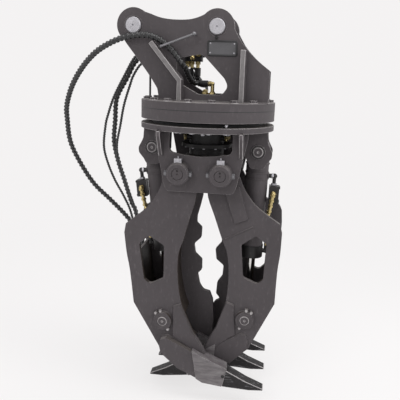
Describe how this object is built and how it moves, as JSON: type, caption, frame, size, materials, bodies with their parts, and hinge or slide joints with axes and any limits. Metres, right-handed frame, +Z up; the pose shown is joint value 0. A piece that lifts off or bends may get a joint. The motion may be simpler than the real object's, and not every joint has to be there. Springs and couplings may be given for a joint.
{
  "type": "rotating hydraulic grapple",
  "caption": "Hydraulic rotating grapple: two-pin head bracket, slewing ring with motor and swivel, and two meshing tined jaws, each moved by its own cylinder.",
  "frame": {"origin": "centre of the dipper pin, the right-hand mounting pin, midway between the ears", "axes": "+X along the line of the two mounting pins away from the link pin, +Y across the ears towards the rear, +Z up"},
  "size_m": [1.1871, 0.6821, 1.8221],
  "materials": {
    "grey_paint": "satin dark grey machine paint",
    "ring_steel": "turned bearing steel",
    "pin_steel": "ground steel",
    "zinc": "zinc plated",
    "chrome_rod": "polished hard chrome",
    "fitting_brass": "yellow plated fittings",
    "bush_bronze": "bearing bronze",
    "black_iron": "black cast iron",
    "tooth_steel": "forged tooth steel, painted",
    "hose_rubber": "black hose guard",
    "plate_metal": "bare plate"
  },
  "bodies": {
    "head": {"front_ear": "grey_paint", "rear_ear": "grey_paint", "ear_ribs": "grey_paint", "head_webs": "grey_paint", "ear_bushes": "pin_steel", "mounting_pins": "pin_steel", "nameplate": "plate_metal", "head_flange": "grey_paint", "flange_bolts": "grey_paint", "outer_ring": "grey_paint", "slew_motor": "black_iron", "swivel_core": "black_iron", "head_fittings": "fitting_brass", "relief_block": "black_iron", "hose_guide": "zinc", "grease_line": "hose_rubber", "guarded_hose_a": "hose_rubber", "guarded_hose_b": "hose_rubber", "thin_hose_a": "hose_rubber", "thin_hose_b": "hose_rubber", "hose_couplings": "zinc"},
    "pinion": {"pinion": "ring_steel"},
    "turntable": {"inner_ring": "ring_steel", "turntable_bolts": "zinc", "lower_flange": "grey_paint", "front_hinge_plate": "grey_paint", "rear_hinge_plate": "grey_paint", "frame_gussets": "grey_paint", "cylinder_brackets": "grey_paint", "pin_collars": "grey_paint", "hinge_pins": "grey_paint", "collar_bolts": "zinc", "grease_blocks": "zinc", "cylinder_pins": "grey_paint", "swivel_housing": "black_iron", "ring_balls": "ring_steel"},
    "left_jaw": {"left_jaw": "grey_paint", "left_adapters": "grey_paint", "left_teeth": "tooth_steel", "left_rod_pin": "grey_paint", "left_pin_keepers": "grey_paint", "left_jaw_bushes": "bush_bronze"},
    "right_jaw": {"right_jaw": "grey_paint", "right_adapters": "grey_paint", "right_teeth": "tooth_steel", "right_rod_pin": "grey_paint", "right_pin_keepers": "grey_paint", "right_jaw_bushes": "bush_bronze"},
    "left_barrel": {"left_barrel": "grey_paint", "left_gland": "black_iron", "left_valve": "black_iron", "left_brass": "fitting_brass", "left_jumper_hose": "hose_rubber"},
    "left_rod": {"left_rod": "chrome_rod"},
    "right_barrel": {"right_barrel": "grey_paint", "right_gland": "black_iron", "right_valve": "black_iron", "right_brass": "fitting_brass", "right_jumper_hose": "hose_rubber"},
    "right_rod": {"right_rod": "chrome_rod"}
  },
  "joints": [
    {"name": "slew", "type": "hinge", "parent": "head", "child": "turntable", "pos_m": [-0.048, 0, -0.458], "axis": [0, 0, 1], "continuous": true},
    {"name": "pinion_turn", "type": "hinge", "parent": "head", "child": "pinion", "pos_m": [0.12, 0, -0.38], "axis": [0, 0, 1], "continuous": true},
    {"name": "left_jaw_swing", "type": "hinge", "parent": "turntable", "child": "left_jaw", "pos_m": [-0.145, 0, -0.65], "axis": [0, 1, 0], "range_deg": [-1.3, 54.7]},
    {"name": "right_jaw_swing", "type": "hinge", "parent": "turntable", "child": "right_jaw", "pos_m": [0.049, 0, -0.65], "axis": [0, -1, 0], "range_deg": [-6.7, 49.3]},
    {"name": "left_cylinder_swing", "type": "hinge", "parent": "turntable", "child": "left_barrel", "pos_m": [-0.3035, 0, -0.555], "axis": [0, 1, 0], "range_deg": [-1.5, 53.5]},
    {"name": "right_cylinder_swing", "type": "hinge", "parent": "turntable", "child": "right_barrel", "pos_m": [0.2075, 0, -0.555], "axis": [0, -1, 0], "range_deg": [-7, 48.5]},
    {"name": "left_rod_slide", "type": "slide", "parent": "left_barrel", "child": "left_rod", "axis": [-0.107, 0, 0.9943], "range_m": [-0.006, 0.175]},
    {"name": "right_rod_slide", "type": "slide", "parent": "right_barrel", "child": "right_rod", "axis": [0.0248, 0, 0.9997], "range_m": [-0.024, 0.16]}
  ],
  "couplings": [
    {"joint": "pinion_turn", "follows": "slew", "ratio": 4},
    {"joint": "left_cylinder_swing", "follows": "left_jaw_swing", "ratio": 0.93696},
    {"joint": "left_rod_slide", "follows": "left_jaw_swing", "m_per_rad": 0.17187},
    {"joint": "right_cylinder_swing", "follows": "right_jaw_swing", "ratio": 0.94713},
    {"joint": "right_rod_slide", "follows": "right_jaw_swing", "m_per_rad": 0.17511}
  ]
}
